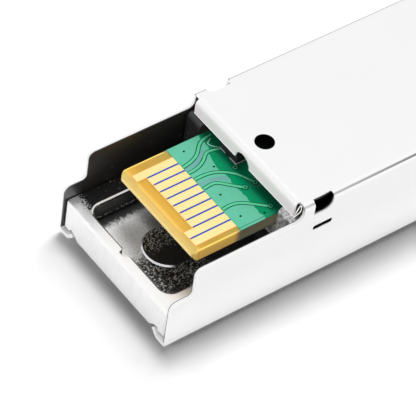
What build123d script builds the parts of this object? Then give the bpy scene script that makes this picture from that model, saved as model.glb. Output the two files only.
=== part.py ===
from build123d import *
import math
import os

# Small pluggable optical transceiver with one port for two-way working over a
# single fibre.  It lies label side down.  X runs across the module, +Y from
# the edge connector to the fibre port, +Z up.  Millimetres.

# Whole module
overall_length = 56.5          # rear edge of the cover to the front of the closed bail
body_width = 13.55             # outside of the sheet cover
body_height = 8.5              # label face to latch face
outside_cage = 9.0             # length of the head and the bail, which stay outside the cage
nose_length = 7.5              # from the cover to the head
finger_proud = 0.35            # how far the shielding fingers stand out of the nose

# Clearances
seat_gap = 0.03                # between pieces that rest on each other
slip_gap = 0.08                # between the cover and the housing inside it
running_gap = 0.04             # radial, pins that turn in their bores
moving_gap = 0.15              # beside pieces that swing
pin_recess = 0.1               # of a pin's end below the face beside it
press_gap = 0.01               # radial, pins pressed into their bores
cut_over = 1.0                 # how far cutting shapes run past what they cut

# Sheet cover
sheet = 0.3
bend_inside = 0.15             # inside radius of the long bends
cover_length = overall_length - outside_cage - nose_length
flange_flat = 1.15             # flat part of each bottom flange, from the wall's face
curl_reach = 0.5               # turned-up end of the flange: inwards
curl_height = 0.72             # and upwards, from the flange's underside
wall_low = 4.6                 # side wall height at the rear end
wall_rim = 7.2                 # side wall height beside the board
wall_step = 1.95               # from the rear edge to the step between the two
wall_rear_round = 0.65
wall_step_hollow = 0.4
wall_step_round = 0.55
lip_plane = 11.1               # rear face of the turned-down lip
lip_bend = 0.55                # outside radius of the lip's bend
lip_low = 7.1                  # lower edge of the lip
lip_side_gap = 0.45            # slit between the lip and the side walls
relief_length = 0.4            # bend relief behind the lip's plane
relief_round = 0.6
notch_width = 1.7              # finger notch in the lip
notch_top = 7.95
notch_offset = -0.15
peep_hole = 1.5                # round hole behind the lip, diameter
peep_hole_from_lip = 1.8
window_from_lip = 1.35         # corner windows in the two top bends
window_length = 1.7
window_low = 7.2
window_bite = 0.45             # how far a window cuts into the top face
window_round = 0.7
far_window_length = 2.15       # the other side's window is larger
far_window_bite = 0.72
far_window_round = 0.5
slot_from_lip = 1.55           # narrow slot in each side wall
slot_length = 1.65
slot_width = 0.27
slot_level = 5.7
snap_from_front = 5.0          # snap windows that hold the cover on the housing
snap_length = 2.0
snap_height = 1.6
snap_level = 4.0
snap_round = 0.2
nub_root = 0.2                 # of the housing's snap nub, inside its wall

# Die-cast housing
housing_setback = 0.12         # housing end face behind the cover's rear edge
floor_level = 1.4              # floor of the rear pocket
optics_floor = 1.0             # floor under the optics
tray_rim = 3.25                # low wall round the rear pocket
rear_rim_width = 1.08
pocket_half_width = 4.87
pocket_round = 0.9
pocket_bevel = 0.22
rim_notch_width = 1.3
rim_notch_inner = 0.5          # its width at the bottom
rim_notch_depth = 0.42
rim_edge_bevel = 0.2
end_corner_round = 0.35        # upright edges of the end face
ejector_mark_radius = 2.05     # flat raised disc on the pocket floor
ejector_mark_height = 0.3
ejector_mark_place = 5.0
rail_start = 10.75             # side rails beside the board
rail_round = 0.5
rail_low = 7.0
rail_full_start = 14.9         # full height, past the corner windows
rail_to_ledge = 1.45           # from the rails' start to the well between the ledges
rail_to_pocket_end = 0.55
board_gap = 0.2                # between the tongue and the rails
housing_level = 0.5            # its underside, above the flanges' underside
groove_depth = 0.54            # groove that takes the flange's turned-up end
groove_lip = 0.19              # its steep outer side
groove_roof = 0.4
groove_slope = 0.56            # its slanting inner side
groove_fall = 0.1              # of its roof, inwards
foot_width = 0.74              # strip between the groove and the side wall
foot_round = 0.3
cavity_wall = 0.9
ledge_width = 1.05             # ledge that carries the board's edges

# Nose, the part that is in the cage behind the head
nose_proud = 0.075             # beyond the cover, on each side
nose_rise = 0.1                # above the cover
nose_round = 0.6
nose_wall = 2.5                # solid front of the nose, round the barrel's neck
optics_room_gap = 1.5          # behind the optics, to the board's supports
optics_room_roof = 0.55        # wall between the optics room and the lever's room
nose_roof = 0.3
port_behind = 0.3              # the port's inner end, behind the head's shoulder
rest_rib = 1.0                 # ribs under the optical body
rest_rib_inset = 1.0           # from its ends
rest_rib_root = 0.1            # in the floor
spring_seat_over = 0.2         # of the spring's seat, into the lever's room

# Head, the part that stays outside the cage
head_proud = 0.1               # beyond the nose, on each side
head_rise = 0.9                # above the nose
head_round = 0.5
head_shoulder = 2.0            # full-width flange behind the bail's arms
head_front_gap = 0.15          # head face to the bail's crossbar
port_width = 4.6
port_height = 4.6
port_bevel = 0.35
key_width = 2.6                # channel for the plug's latch
key_depth = 0.95
key_length = 6.2
optical_level = 4.0            # optical axis above the label face

# Bail and latch
bail_thickness = 1.45          # crossbar, along the module
bail_bar_height = 1.25
bail_bar_low = 0.2
bail_arm = 1.0
bail_hub_radius = 1.4
bail_arm_width = 2.0
bail_bar_round = 0.3
pivot_depth = 0.75             # bail and lever pivots below the latch face
pivot_from_face = 2.0          # bail pivot behind the head's front face
shaft_radius = 0.5
crank_radius = 0.6             # eccentric journal that lifts the lever
crank_throw = 0.3
crank_side_gap = 0.1           # crank to the sides of the lever's room
lever_room_width = 6.3
lever_end_gap = 0.6            # behind the lever
lever_room_depth = 1.75
lever_room_front = 1.0         # wall left in front of the lever
lever_room_rear = 0.8          # wall left behind it
lever_side_gap = 0.2
lever_thickness = 0.5
lever_drop = 0.1               # lever's top below the latch face
lever_arm_front = 2.7          # lever pin to crank
lever_pin_radius = 0.4
lever_hub_radius = 0.82
lever_tip_reach = 0.7          # lever beyond the crank's middle
lever_rail = 0.8               # side rails of the lever beside its open middle
lever_window_rear = 2.15       # open middle: behind the pin
lever_window_front = 1.0       # and in front of it
boss_width = 2.6
boss_length = 2.6
boss_height = 0.45             # above the latch face
boss_nose = 0.5                # width of the boss's blunt rear end
boss_ramp_share = 0.7          # share of the boss that slopes
boss_lock_room = 0.6           # cleared in front of the locking face
shoulder_to_head = 2.5         # locking face of the boss to the head
spring_wire = 0.2
spring_radius = 0.75
spring_turns = 4
spring_place = 1.3             # in front of the locking face
spring_seat_depth = 0.75

# Shielding collar
collar_sheet = 0.2
collar_gap = 0.03
collar_band = 1.4
collar_opening = 7.0           # gap in the band round the lever's room
finger_length = 5.3
finger_width = 1.35
finger_pitch = 1.85
small_finger_width = 1.05
small_finger_pitch = 1.4
small_finger_place = 4.2
fingers_below = 6
fingers_beside = 4

# Circuit board
board_thickness = 1.0
board_level = 5.25             # underside above the label face
board_start = 3.38
board_bevel = 0.4              # length of the lead-in bevel on both faces
board_nose = 0.25              # flat edge that the bevels leave
board_to_optics = 4.1
tongue_width = 9.2
tongue_end = 13.6
board_wide = 10.7
board_front_tongue = 3.5       # narrow front end
board_round = 0.45
film = 0.04                    # solder mask and gold plating
pad_count = 10
pad_pitch = 0.8
pad_width = 0.66
pad_offset = 0.15              # of the contact row from the tongue's middle
pad_start_long = 0.52          # from the board's end
pad_start_short = 1.32
mask_start = 4.22              # from the board's end

# Chips and small parts on the board
chip_height = 0.9
chip_bevel = 0.08
driver_side = 4.0
driver_place = 19.5
thermal_pad_edge = 0.2         # its edge inside the driver chip's
controller_side = 3.5
controller_place = 18.0
memory_width = 2.0
memory_length = 3.0
memory_height = 0.65
memory_left = -2.82
memory_start = 11.2
chip_small_length = 1.0        # small capacitors and resistors
chip_small_width = 0.5
capacitor_height = 0.5
resistor_height = 0.35
bead_length = 1.6
bead_width = 0.8
capacitor_pitch = 1.3
resistor_pitch = 1.2
bead_pitch = 2.2
small_part_gap = 0.4           # from the driver chip to the parts beside it

# Optics
optics_set_in = 6.4            # rear face of the optics, behind the cover's front edge
optics_length = 7.0
optics_side = 5.2
optics_round = 0.5
flange_radius = 2.1
flange_length = 1.0
neck_radius = 1.8
barrel_radius = 1.475
barrel_tip = 4.5               # behind the head's front face
barrel_bevel = 0.2
sleeve_outer = 0.8
sleeve_bore = 0.627            # takes the plug's 1.25 mm ferrule
sleeve_length = 5.4
sleeve_slit = 0.15
sleeve_recess = 0.3            # behind the barrel's tip
sleeve_gap = 0.02              # radial, round the sleeve
sleeve_grip = 0.002            # radial, round the fibre stub
stub_radius = 0.62
stub_length = 4.0
stub_in_sleeve = 1.6
can_radius = 2.0               # laser can
can_depth = 1.3
can_end_gap = 0.2              # behind a can's end, in the optical body
header_radius = 2.35
detector_smaller = 0.3         # how much smaller the detector can's radii are
detector_depth = 0.9
header_length = 1.1
lead_radius = 0.2
lead_circle = 1.1
lead_length = 0.9
lead_gap = 0.02                # radial, in the flex's holes
flex = 0.15
flex_width = 4.2
flex_bend = 0.6
flex_lap = 1.8                 # length soldered to the board
clamp_width = 7.2
clamp_length = 4.4
clamp_bevel = 0.3

# Values worked out from the sizes above
half_body = body_width / 2
nose_width = body_width + 2 * nose_proud
nose_height = body_height + nose_rise
head_width = nose_width + 2 * head_proud
head_top = nose_height + head_rise
head_start = overall_length - outside_cage
latch_shoulder = head_start - shoulder_to_head
optics_room_end = head_start - nose_wall
port_end = head_start - port_behind
pivot_level = body_height - pivot_depth
lever_room_start = latch_shoulder - boss_length - lever_end_gap
optics_start = cover_length - optics_set_in
board_end = optics_start - board_to_optics
board_wide_end = board_end - board_front_tongue
housing_half = half_body - sheet - slip_gap
housing_top = body_height - sheet - slip_gap
cavity_half = housing_half - cavity_wall
head_front = overall_length - bail_thickness - head_front_gap
pivot_place = head_front - pivot_from_face
lever_pin_place = pivot_place - lever_arm_front
head_slim_half = head_width / 2 - bail_arm - moving_gap
lever_room_floor = body_height - lever_room_depth
lever_room_end = head_front - lever_room_front
lever_width = lever_room_width - 2 * lever_side_gap
nose_core_width = nose_width - 2 * (collar_sheet + collar_gap)
nose_core_height = nose_height - 2 * (collar_sheet + collar_gap)
board_top = board_level + board_thickness
ledge_top = board_level - film - seat_gap
rise_angle = math.degrees(math.asin(crank_throw / lever_arm_front))


def block(x0, x1, y0, y1, z0, z1):
    """A box between two corners."""
    middle = Pos((x0 + x1) / 2, (y0 + y1) / 2, (z0 + z1) / 2)
    return middle * Box(x1 - x0, y1 - y0, z1 - z0)


def along_y(section, y0, y1):
    """A cross-section drawn in X and Z, drawn out from y0 to y1."""
    return Pos(0, y0, 0) * extrude(Plane.XZ * section, amount=-(y1 - y0))


def along_x(section, x0, x1):
    """A side view drawn in Y and Z, drawn out from x0 to x1."""
    return Pos(x0, 0, 0) * extrude(Plane.YZ * section, amount=x1 - x0)


def along_z(section, z0, z1):
    """A plan drawn in X and Y, drawn out from z0 to z1."""
    return Pos(0, 0, z0) * extrude(section, amount=z1 - z0)


def rod_x(radius, x0, x1, y, z):
    """A round bar across the module."""
    return along_x(Pos(y, z) * Circle(radius), x0, x1)


def rod_y(radius, y0, y1, x, z):
    """A round bar along the module."""
    return along_y(Pos(x, z) * Circle(radius), y0, y1)


def rounded(width, height, radius, base=0.0):
    """A rounded rectangle that stands on the given level."""
    return Pos(0, base + height / 2) * RectangleRounded(width, height, radius)


def both_sides(shape):
    """A shape and its mirror image in the module's middle plane."""
    return shape + mirror(shape, about=Plane.YZ)


def cover_section():
    """The folded sheet: top, two walls, two flanges with turned-up ends."""
    side = half_body - sheet / 2
    turn = half_body - flange_flat
    end = turn - curl_reach
    low = sheet / 2
    high = body_height - sheet / 2
    middle_line = FilletPolyline(
        (-end, curl_height), (-turn, low), (-side, low), (-side, high),
        (side, high), (side, low), (turn, low), (end, curl_height),
        radius=bend_inside + sheet / 2)
    return trace(middle_line, line_width=sheet)


def rear_cut():
    """What is cut from the top and the walls over the edge connector."""
    far = body_height + cut_over
    wall_end = lip_plane + relief_length
    outline = Polyline(
        (-cut_over, wall_low), (wall_step, wall_low), (wall_step, wall_rim),
        (wall_end, wall_rim), (wall_end, far), (-cut_over, far), close=True)
    view = make_face(outline)
    corners = view.vertices()
    view = fillet(corners.sort_by_distance((wall_step, wall_low))[0], wall_step_hollow)
    view = fillet(view.vertices().sort_by_distance((wall_step, wall_rim))[0], wall_step_round)
    view = fillet(view.vertices().sort_by_distance((wall_end, wall_rim))[0], relief_round)
    return along_x(view, -half_body - cut_over, half_body + cut_over)


def lip_half_width():
    return half_body - sheet - lip_side_gap


def cover_lip():
    """The edge of the top face, turned down over the board."""
    joint = lip_plane + relief_length + lip_bend
    top = body_height - sheet / 2
    middle_line = FilletPolyline(
        (lip_plane + sheet / 2, lip_low), (lip_plane + sheet / 2, top), (joint, top),
        radius=lip_bend - sheet / 2)
    half = lip_half_width()
    lip = along_x(trace(middle_line, line_width=sheet), -half, half)
    notch = Pos(notch_offset, notch_top - notch_width / 2) * Circle(notch_width / 2)
    notch += Pos(notch_offset, lip_low) * Rectangle(notch_width, 2 * (notch_top - notch_width / 2 - lip_low))
    return lip - along_y(notch, lip_plane - cut_over, lip_plane + lip_bend)


def corner_window(length):
    """Side view of a window in one of the top bends."""
    start = lip_plane + window_from_lip
    window = Pos(start + length / 2, window_low + length) * Rectangle(length, 2 * length)
    front_corner = window.vertices().sort_by_distance((start + length, window_low))[0]
    return fillet(front_corner, window_round)


def make_sheet_cover():
    cover = along_y(cover_section(), 0, cover_length)
    cover -= rear_cut()
    rear_corners = cover.edges().filter_by(Axis.X).filter_by_position(Axis.Y, -0.01, 0.01)
    rear_corners = rear_corners.filter_by_position(Axis.Z, wall_low - 0.01, wall_low + 0.01)
    cover = fillet(rear_corners, wall_rear_round)
    half = lip_half_width()
    cover -= block(-half, half, lip_plane, lip_plane + lip_bend, lip_low, body_height + cut_over)
    cover += cover_lip()
    cover -= Pos(0, lip_plane + peep_hole_from_lip, body_height) * Cylinder(peep_hole / 2, 3 * sheet)
    cover -= along_x(corner_window(window_length), half_body - window_bite, half_body + cut_over)
    far_window = along_x(corner_window(far_window_length), -half_body - cut_over, far_window_bite - half_body)
    inner_edges = far_window.edges().filter_by(Axis.Z).sort_by(Axis.X)[-2:]
    cover -= fillet(inner_edges, far_window_round)
    slot_middle = lip_plane + slot_from_lip + slot_length / 2
    slot = Pos(slot_middle, slot_level) * SlotOverall(slot_length, slot_width)
    cover -= both_sides(along_x(slot, half_body - 2 * sheet, half_body + cut_over))
    snap = Pos(cover_length - snap_from_front, snap_level) * RectangleRounded(
        snap_length, snap_height, snap_round)
    cover -= both_sides(along_x(snap, half_body - 2 * sheet, half_body + cut_over))
    return cover


def housing_section(top):
    """Cross-section of the housing inside the cover, up to the given level."""
    foot = housing_half - foot_width
    roof = housing_level + groove_depth
    roof_far = foot - groove_lip
    roof_near = roof_far - groove_roof
    half = [
        (0, housing_level), (roof_near - groove_slope, housing_level), (roof_near, roof - groove_fall),
        (roof_far, roof), (foot, housing_level), (housing_half, housing_level), (housing_half, top), (0, top)]
    right = make_face(Polyline(*half, close=True))
    right = fillet(right.vertices().sort_by_distance((housing_half, housing_level))[0], foot_round)
    return right + mirror(right, about=Plane.YZ)


def rear_pocket():
    """The pocket under the end of the board, with its bevelled edge."""
    y0 = rear_rim_width + housing_setback
    y1 = rail_start + rail_to_pocket_end
    middle = Pos(0, (y0 + y1) / 2)
    plan = middle * RectangleRounded(2 * pocket_half_width, y1 - y0, pocket_round)
    pocket = along_z(plan, floor_level, tray_rim + cut_over)
    wide = middle * RectangleRounded(
        2 * (pocket_half_width + pocket_bevel), y1 - y0 + 2 * pocket_bevel, pocket_round + pocket_bevel)
    edge = loft([Pos(0, 0, tray_rim - pocket_bevel) * plan, Pos(0, 0, tray_rim + 0.001) * wide])
    wide, narrow = rim_notch_width / 2, rim_notch_inner / 2
    bottom = y0 - rim_notch_depth
    notch = make_face(Polyline(
        (-wide, y0), (-narrow, bottom), (narrow, bottom), (wide, y0),
        (wide, y0 + pocket_round), (-wide, y0 + pocket_round), close=True))
    return pocket + edge + along_z(notch, floor_level, tray_rim + cut_over)


def port_cavity():
    """The plug's socket in the head, with its latch channel and lead-in."""
    low = optical_level - port_height / 2
    socket = block(-port_width / 2, port_width / 2, port_end, head_front + cut_over,
                   low, low + port_height)
    channel = block(-key_width / 2, key_width / 2, head_front - key_length, head_front + cut_over,
                    low - key_depth, low + port_bevel)
    mouth = Pos(0, optical_level) * Rectangle(port_width + 2 * port_bevel, port_height + 2 * port_bevel)
    inner = Pos(0, optical_level) * Rectangle(port_width, port_height)
    lead_in = loft([Pos(0, head_front, 0) * (Plane.XZ * mouth),
                    Pos(0, head_front - port_bevel, 0) * (Plane.XZ * inner)])
    return socket + channel + lead_in


def make_housing():
    body = along_y(housing_section(housing_top), housing_setback, cover_length)
    body -= block(-half_body, half_body, -cut_over, rail_start, tray_rim, body_height)
    body -= block(-half_body, half_body, -cut_over, rail_full_start, rail_low, body_height)
    slot_half = tongue_width / 2 + board_gap
    body -= block(-slot_half, slot_half, rail_start - cut_over, tongue_end, ledge_top, body_height)
    rail_ends = body.edges().filter_by(Axis.X).filter_by_position(Axis.Z, rail_low - 0.01, rail_low + 0.01)
    rail_ends = rail_ends.filter_by_position(Axis.Y, rail_start - 0.01, rail_start + 0.01)
    body = fillet(rail_ends, rail_round)
    body -= rear_pocket()
    mark = Pos(0, ejector_mark_place, floor_level) * Cylinder(
        ejector_mark_radius, 2 * ejector_mark_height)
    body += chamfer(mark.edges().sort_by(Axis.Z)[-1], ejector_mark_height / 2)
    body -= block(-cavity_half, cavity_half, tongue_end, cover_length + cut_over, ledge_top, body_height)
    body -= block(-cavity_half + ledge_width, cavity_half - ledge_width, rail_start + rail_to_ledge,
                  optics_start - optics_room_gap, floor_level, body_height)
    body -= block(-cavity_half, cavity_half, board_end, cover_length + cut_over, optics_floor, body_height)
    rear_edge = body.edges().filter_by(Axis.X).filter_by_position(
        Axis.Y, housing_setback - 0.01, housing_setback + 0.01)
    rear_edge = rear_edge.filter_by_position(Axis.Z, tray_rim - 0.01, tray_rim + 0.01)
    body = chamfer(rear_edge, rim_edge_bevel)
    upright = body.edges().filter_by(Axis.Z).filter_by_position(
        Axis.Y, housing_setback - 0.01, housing_setback + 0.01)
    upright = upright.filter_by(lambda edge: abs(edge.center().X) > housing_half - 0.01)
    body = fillet(upright, end_corner_round)

    nose_base = collar_sheet + collar_gap
    nose_section = rounded(nose_core_width, nose_core_height, nose_round, nose_base)
    nose = along_y(nose_section, cover_length, head_start)
    nose -= block(-cavity_half, cavity_half, cover_length - cut_over, optics_room_end,
                  optics_floor, lever_room_floor - optics_room_roof)
    nose -= block(-cavity_half, cavity_half, cover_length - cut_over, lever_room_start - lever_room_rear,
                  optics_floor, housing_top - nose_roof)

    flange = along_y(rounded(head_width, head_top, head_round), head_start, head_start + head_shoulder)
    slim = along_y(rounded(2 * head_slim_half, head_top, head_round), head_start, head_front)
    head = flange + slim

    whole = body + nose + head
    whole -= port_cavity()
    whole -= rod_y(neck_radius + slip_gap, optics_room_end - cut_over, port_end + cut_over, 0, optical_level)
    whole -= block(-lever_room_width / 2, lever_room_width / 2, lever_room_start, lever_room_end,
                   lever_room_floor, head_top + cut_over)
    seat_low = lever_room_floor - spring_seat_depth
    seat_high = lever_room_floor + spring_seat_over
    whole -= Pos(0, latch_shoulder + spring_place, (seat_low + seat_high) / 2) * Cylinder(
        spring_radius + spring_wire, seat_high - seat_low)
    whole -= rod_x(shaft_radius + running_gap, -head_width, head_width, pivot_place, pivot_level)
    whole -= rod_x(lever_pin_radius + press_gap, -head_width, head_width, lever_pin_place, pivot_level)

    rib_top = optical_level - optics_side / 2 - seat_gap
    for rib_start in (optics_start + rest_rib_inset,
                      optics_start + optics_length - rest_rib_inset - rest_rib):
        whole += block(-optics_side / 2, optics_side / 2, rib_start, rib_start + rest_rib,
                       optics_floor - rest_rib_root, rib_top)
    snap_middle = cover_length - snap_from_front
    nub = block(housing_half - nub_root, half_body - slip_gap,
                snap_middle - snap_length / 2 + slip_gap, snap_middle + snap_length / 2 - slip_gap,
                snap_level - snap_height / 2 + slip_gap, snap_level + snap_height / 2 - slip_gap)
    nub = chamfer(nub.edges().filter_by(Axis.Z).sort_by(Axis.X)[-2:].sort_by(Axis.Y)[0], sheet)
    whole += both_sides(nub)
    return whole


def finger(width):
    """One bowed spring finger, lying along Y with its foot at the band."""
    length = finger_length
    crest = length / 2
    outer = ThreePointArc((0, collar_sheet), (-crest, collar_sheet + finger_proud), (-length, collar_sheet))
    inner = ThreePointArc((0, 0), (-crest, finger_proud), (-length, 0))
    side = make_face([outer, Line(outer @ 1, inner @ 1), inner, Line(inner @ 0, outer @ 0)])
    return along_x(side, -width / 2, width / 2)


def make_collar():
    band_end = head_start - collar_gap
    band_start = band_end - collar_band
    outer = rounded(nose_width, nose_height, nose_round + collar_sheet)
    inner = rounded(nose_width - 2 * collar_sheet, nose_height - 2 * collar_sheet,
                    nose_round, collar_sheet)
    collar = along_y(outer - inner, band_start, band_end)
    collar -= block(-collar_opening / 2, collar_opening / 2, band_start - cut_over, band_end + cut_over,
                    nose_height - 2 * collar_sheet, nose_height + cut_over)
    plain = finger(finger_width)
    small = finger(small_finger_width)
    half = nose_width / 2
    for i in range(fingers_below):
        x = (i - (fingers_below - 1) / 2) * finger_pitch
        collar += Pos(x, band_start, collar_sheet) * (Rot(0, 180, 0) * plain)
    for i in range(fingers_beside):
        z = nose_height / 2 + (i - (fingers_beside - 1) / 2) * finger_pitch
        collar += Pos(half - collar_sheet, band_start, z) * (Rot(0, 90, 0) * plain)
        collar += Pos(-half + collar_sheet, band_start, z) * (Rot(0, -90, 0) * plain)
    for i in range(2):
        x = small_finger_place + i * small_finger_pitch
        collar += both_sides(Pos(x, band_start, nose_height - collar_sheet) * small)
    return collar


def make_bail():
    """Die-cast U: two flat arms and a crossbar, hinged at the hubs."""
    bar_y = overall_length - bail_thickness / 2
    bar_z = bail_bar_low + bail_bar_height / 2
    hub = Pos(pivot_place, pivot_level) * Circle(bail_hub_radius)
    foot = Pos(bar_y, bar_z) * RectangleRounded(bail_thickness, bail_bar_height, bail_bar_round)
    shank = make_hull((Pos(pivot_place + bail_hub_radius - bail_arm_width / 2, pivot_level)
                       * Circle(bail_arm_width / 2)).edges()
                      + (Pos(bar_y, bar_z + bail_bar_round) * Circle(bail_thickness / 2)).edges())
    side = hub + shank + foot
    outside = head_width / 2
    arms = both_sides(along_x(side, outside - bail_arm, outside))
    bar = along_x(foot, -outside, outside)
    bail = arms + bar
    hole = rod_x(shaft_radius + press_gap, -outside - cut_over, outside + cut_over, pivot_place, pivot_level)
    return bail - hole


def make_shaft():
    """Bail pivot pin with an eccentric journal in the middle."""
    end = head_width / 2 - pin_recess
    crank_half = lever_room_width / 2 - crank_side_gap
    ends = rod_x(shaft_radius, -end, -crank_half, pivot_place, pivot_level)
    ends += rod_x(shaft_radius, crank_half, end, pivot_place, pivot_level)
    return ends + rod_x(crank_radius, -crank_half, crank_half, pivot_place, pivot_level - crank_throw)


def make_lever():
    """Rocker with the locking boss at one end and the crank's pad at the other."""
    half = lever_width / 2
    low = body_height - lever_drop - lever_thickness
    pad_low = pivot_level - crank_throw + crank_radius + 2 * running_gap
    rear = latch_shoulder - boss_length
    tip = pivot_place + lever_tip_reach
    plate = block(-half, half, rear, lever_pin_place, low, low + lever_thickness)
    plate += block(-half, half, lever_pin_place, tip, pad_low, pad_low + lever_thickness)
    plate += rod_x(lever_hub_radius, -half, half, lever_pin_place, pivot_level)
    plate -= block(-half + lever_rail, half - lever_rail, lever_pin_place - lever_window_rear,
                   lever_pin_place + lever_window_front, 0, head_top)
    wedge = make_face(Polyline((0, latch_shoulder), (-boss_width / 2, latch_shoulder),
                               (-boss_nose / 2, rear), (boss_nose / 2, rear),
                               (boss_width / 2, latch_shoulder), close=True))
    boss = along_z(wedge, low + lever_thickness / 2, body_height + boss_height)
    ramp = make_face(Polyline(
        (rear, low + lever_thickness), (rear + boss_length * boss_ramp_share, body_height + boss_height),
        (rear, body_height + boss_height), close=True))
    boss -= along_x(ramp, -boss_width, boss_width)
    lever = plate + boss
    lever -= block(-boss_width, boss_width, latch_shoulder, latch_shoulder + boss_lock_room,
                   low + lever_thickness, head_top)
    hole = rod_x(lever_pin_radius + running_gap, -half - cut_over, half + cut_over,
                 lever_pin_place, pivot_level)
    return lever - hole


def make_lever_pin():
    end = head_slim_half - pin_recess
    return rod_x(lever_pin_radius, -end, end, lever_pin_place, pivot_level)


def make_spring():
    """Compression spring that pushes the lever's locking end outwards."""
    low = lever_room_floor - spring_seat_depth + spring_wire / 2 + seat_gap
    high = body_height - lever_drop - lever_thickness - spring_wire / 2 - seat_gap
    height = high - low
    path = Helix(pitch=height / spring_turns, height=height, radius=spring_radius - spring_wire / 2)
    start = path @ 0
    profile = Plane(origin=start, z_dir=path % 0) * Circle(spring_wire / 2)
    return Pos(0, latch_shoulder + spring_place, low) * sweep(profile, path=path)


def board_outline():
    wide = board_wide / 2
    tongue = tongue_width / 2
    plan = make_face(Polyline(
        (-tongue, board_start), (tongue, board_start), (tongue, tongue_end), (wide, tongue_end),
        (wide, board_wide_end), (tongue, board_wide_end), (tongue, board_end), (-tongue, board_end),
        (-tongue, board_wide_end), (-wide, board_wide_end), (-wide, tongue_end), (-tongue, tongue_end),
        close=True))
    ends = plan.vertices().filter_by_position(Axis.Y, board_start - 0.01, board_start + 0.01)
    return fillet(ends, board_round)


def make_board():
    board = along_z(board_outline(), board_level, board_top)
    bevelled = board_start + board_bevel
    depth = (board_thickness - board_nose) / 2
    for face, edge in ((board_top, board_top - depth), (board_level, board_level + depth)):
        wedge = make_face(Polyline(
            (board_start, edge), (bevelled, face), (board_start, face), close=True))
        board -= along_x(wedge, -tongue_width, tongue_width)
    return board


def mask_film(level):
    """Solder mask on one face of the board, from the contacts forward."""
    beyond = block(-half_body, half_body, board_start - cut_over, board_start + mask_start, 0, body_height)
    return along_z(board_outline(), level, level + film) - beyond


def pads(level, short_pads):
    """The row of gold contacts on one face of the board's tongue."""
    row = []
    for i in range(pad_count):
        x = pad_offset + (i - (pad_count - 1) / 2) * pad_pitch
        start = board_start + (pad_start_short if i in short_pads else pad_start_long)
        end = board_start + mask_start - 0.01
        row.append(block(x - pad_width / 2, x + pad_width / 2, start, end, level, level + film))
    return Part() + row


def chip(width, length, height, x, y, level):
    """A moulded chip package with bevelled top edges."""
    body = block(x - width / 2, x + width / 2, y - length / 2, y + length / 2, level, level + height)
    return chamfer(body.faces().sort_by(Axis.Z)[-1].edges(), chip_bevel)


def row_of_chips(places, width, length, height, level):
    """Small two-ended parts, each a separate solid."""
    return Part() + [
        block(x - width / 2, x + width / 2, y - length / 2, y + length / 2, level, level + height)
        for x, y in places]


def make_small_parts():
    """Capacitors, resistors and ferrite beads on the board's upper face."""
    level = board_top + film
    clear = driver_side / 2 + small_part_gap
    across = clear + chip_small_length / 2
    along = [driver_place + capacitor_pitch * (i - 1.5) for i in range(4)]
    capacitors = [(x, y) for x in (-across, across) for y in along]
    behind = driver_place - clear - chip_small_length / 2
    resistors = [(resistor_pitch * (i - 2), behind) for i in range(5)]
    ahead = driver_place + clear + bead_length / 2
    beads = [(bead_pitch * (i - 1), ahead) for i in range(3)]
    return {
        "capacitors": row_of_chips(capacitors, chip_small_length, chip_small_width, capacitor_height, level),
        "resistors": row_of_chips(resistors, chip_small_width, chip_small_length, resistor_height, level),
        "ferrite_beads": row_of_chips(beads, bead_width, bead_length, bead_width, level),
    }


def make_optical_body():
    """Machined block that joins the laser, the detector and the receptacle."""
    section = Pos(0, optical_level) * RectangleRounded(optics_side, optics_side, optics_round)
    body = along_y(section, optics_start, optics_start + optics_length)
    body -= rod_y(can_radius + slip_gap, optics_start - cut_over,
                  optics_start + can_depth + can_end_gap, 0, optical_level)
    body -= rod_y(stub_radius + slip_gap, optics_start,
                  optics_start + optics_length + cut_over, 0, optical_level)
    seat_end = -optics_side / 2 + detector_depth + 0.6
    body -= rod_x(can_radius - detector_smaller + slip_gap, -optics_side, seat_end,
                  optics_start + optics_length / 2, optical_level)
    return body


def make_receptacle():
    """Turned barrel that guides the plug's ferrule."""
    start = optics_start + optics_length + seat_gap
    tip = head_front - barrel_tip
    barrel = rod_y(flange_radius, start, start + flange_length, 0, optical_level)
    barrel += rod_y(neck_radius, start, port_end, 0, optical_level)
    barrel += rod_y(barrel_radius, start, tip, 0, optical_level)
    barrel = chamfer(barrel.edges().sort_by(Axis.Y)[-1], barrel_bevel)
    sleeve_front = tip - sleeve_recess
    barrel -= rod_y(sleeve_outer + sleeve_gap, sleeve_front - sleeve_length, tip + cut_over, 0, optical_level)
    barrel -= rod_y(stub_radius + press_gap, start - cut_over, tip, 0, optical_level)
    return barrel


def make_sleeve():
    """Split ceramic sleeve, gripping the fibre stub at its inner end."""
    front = head_front - barrel_tip - sleeve_recess
    rear = front - sleeve_length
    sleeve = rod_y(sleeve_outer, rear, front, 0, optical_level)
    sleeve -= rod_y(sleeve_bore, rear + stub_in_sleeve, front + cut_over, 0, optical_level)
    sleeve -= rod_y(stub_radius + sleeve_grip, rear - cut_over, front, 0, optical_level)
    sleeve -= block(-sleeve_slit / 2, sleeve_slit / 2, rear - cut_over, front + cut_over,
                    optical_level, optical_level + 2 * sleeve_outer)
    return sleeve


def make_stub():
    front = head_front - barrel_tip - sleeve_recess - sleeve_length + stub_in_sleeve
    return rod_y(stub_radius, front - stub_length, front, 0, optical_level)


def diode_can(radius, header, depth):
    """A sealed diode can with four leads, its header's back face at y = 0."""
    can = rod_y(header, 0, header_length, 0, 0)
    can += rod_y(radius, header_length, header_length + depth, 0, 0)
    for i in range(4):
        x = lead_circle * math.cos(math.radians(45 + 90 * i))
        z = lead_circle * math.sin(math.radians(45 + 90 * i))
        can += rod_y(lead_radius, -lead_length, 0.1, x, z)
    return can


def make_cans():
    laser = Pos(0, optics_start - header_length - seat_gap, optical_level) * diode_can(
        can_radius, header_radius, can_depth)
    face = -optics_side / 2 - seat_gap - header_length
    detector = Pos(face, optics_start + optics_length / 2, optical_level) * (
        Rot(0, 0, -90) * diode_can(
            can_radius - detector_smaller, header_radius - detector_smaller, detector_depth))
    return laser, detector


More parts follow.
